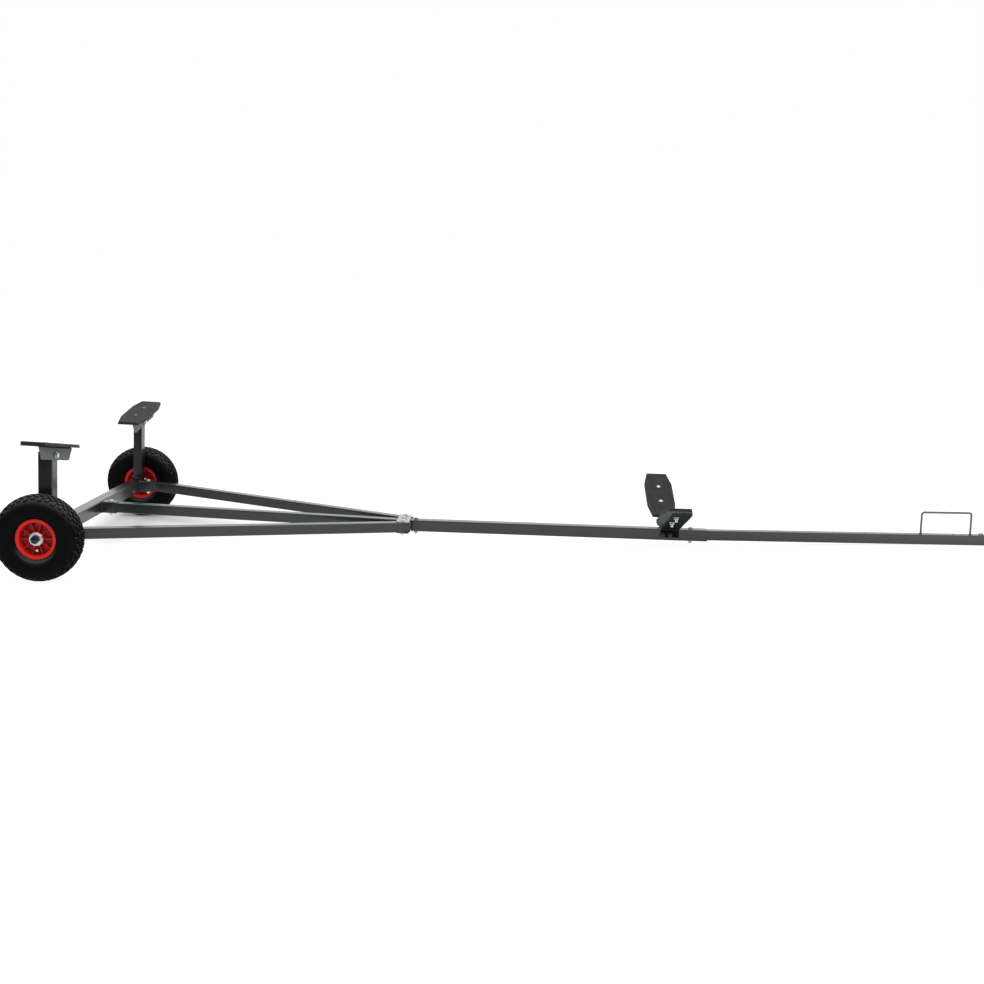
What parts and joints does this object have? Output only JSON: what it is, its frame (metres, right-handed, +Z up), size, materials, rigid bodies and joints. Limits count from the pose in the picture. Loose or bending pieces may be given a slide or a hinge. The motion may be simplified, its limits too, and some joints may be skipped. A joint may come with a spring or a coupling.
{
  "type": "boat trailer",
  "caption": "Light boat trailer with small wheels on tall posts, tilting hull pads, a sloping keel rest and a long square-tube drawbar with a bow loop.",
  "frame": {"origin": "on the floor, midway between the rear of the tyres and the front end of the drawbar, in the middle plane", "axes": "+X forward along the drawbar, +Y to the left, +Z up"},
  "size_m": [3.0996, 1.1682, 0.4249],
  "materials": {
    "frame_paint": "semi-gloss",
    "bracket_paint": "satin",
    "zinc": "zinc plated",
    "pad_rubber": "ribbed",
    "tyre_rubber": "matte",
    "red_plastic": "gloss",
    "black_plastic": "matte"
  },
  "bodies": {
    "frame": {"crossbeam": "frame_paint", "centre_socket": "frame_paint", "centre_arm": "frame_paint", "drawbar": "frame_paint", "front_tube": "frame_paint", "front_end_cap": "black_plastic", "joint_top_plate": "bracket_paint", "joint_bottom_plate": "bracket_paint", "bow_loop": "frame_paint", "socket_bolts": "zinc", "joint_bolts": "zinc", "drawbar_bolts": "zinc", "wing_bolts": "zinc", "left_post": "frame_paint", "left_socket": "frame_paint", "left_arm": "frame_paint", "left_axle_bolt": "zinc", "left_pivot_bolt": "zinc", "left_keel_wing": "bracket_paint", "left_keel_pad": "pad_rubber", "right_post": "frame_paint", "right_socket": "frame_paint", "right_arm": "frame_paint", "right_axle_bolt": "zinc", "right_pivot_bolt": "zinc", "right_keel_wing": "bracket_paint", "right_keel_pad": "pad_rubber"},
    "left_wheel": {"left_tyre": "tyre_rubber", "left_rim": "red_plastic", "left_hub": "zinc"},
    "right_wheel": {"right_tyre": "tyre_rubber", "right_rim": "red_plastic", "right_hub": "zinc"},
    "left_rear_support": {"left_rear_bracket": "bracket_paint", "left_rear_pad": "pad_rubber"},
    "right_rear_support": {"right_rear_bracket": "bracket_paint", "right_rear_pad": "pad_rubber"}
  },
  "joints": [
    {"name": "left_wheel_spin", "type": "hinge", "parent": "frame", "child": "left_wheel", "pos_m": [-1.41984, 0.516, 0.13], "axis": [0, 1, 0], "continuous": true},
    {"name": "right_wheel_spin", "type": "hinge", "parent": "frame", "child": "right_wheel", "pos_m": [-1.41984, -0.516, 0.13], "axis": [0, 1, 0], "continuous": true},
    {"name": "left_rear_tilt", "type": "hinge", "parent": "frame", "child": "left_rear_support", "pos_m": [-1.38489, 0.445, 0.36434], "axis": [0.9982, 0, -0.0593], "range_deg": [-29, 11]},
    {"name": "right_rear_tilt", "type": "hinge", "parent": "frame", "child": "right_rear_support", "pos_m": [-1.38489, -0.445, 0.36434], "axis": [0.9982, 0, -0.0593], "range_deg": [-11, 29]}
  ]
}
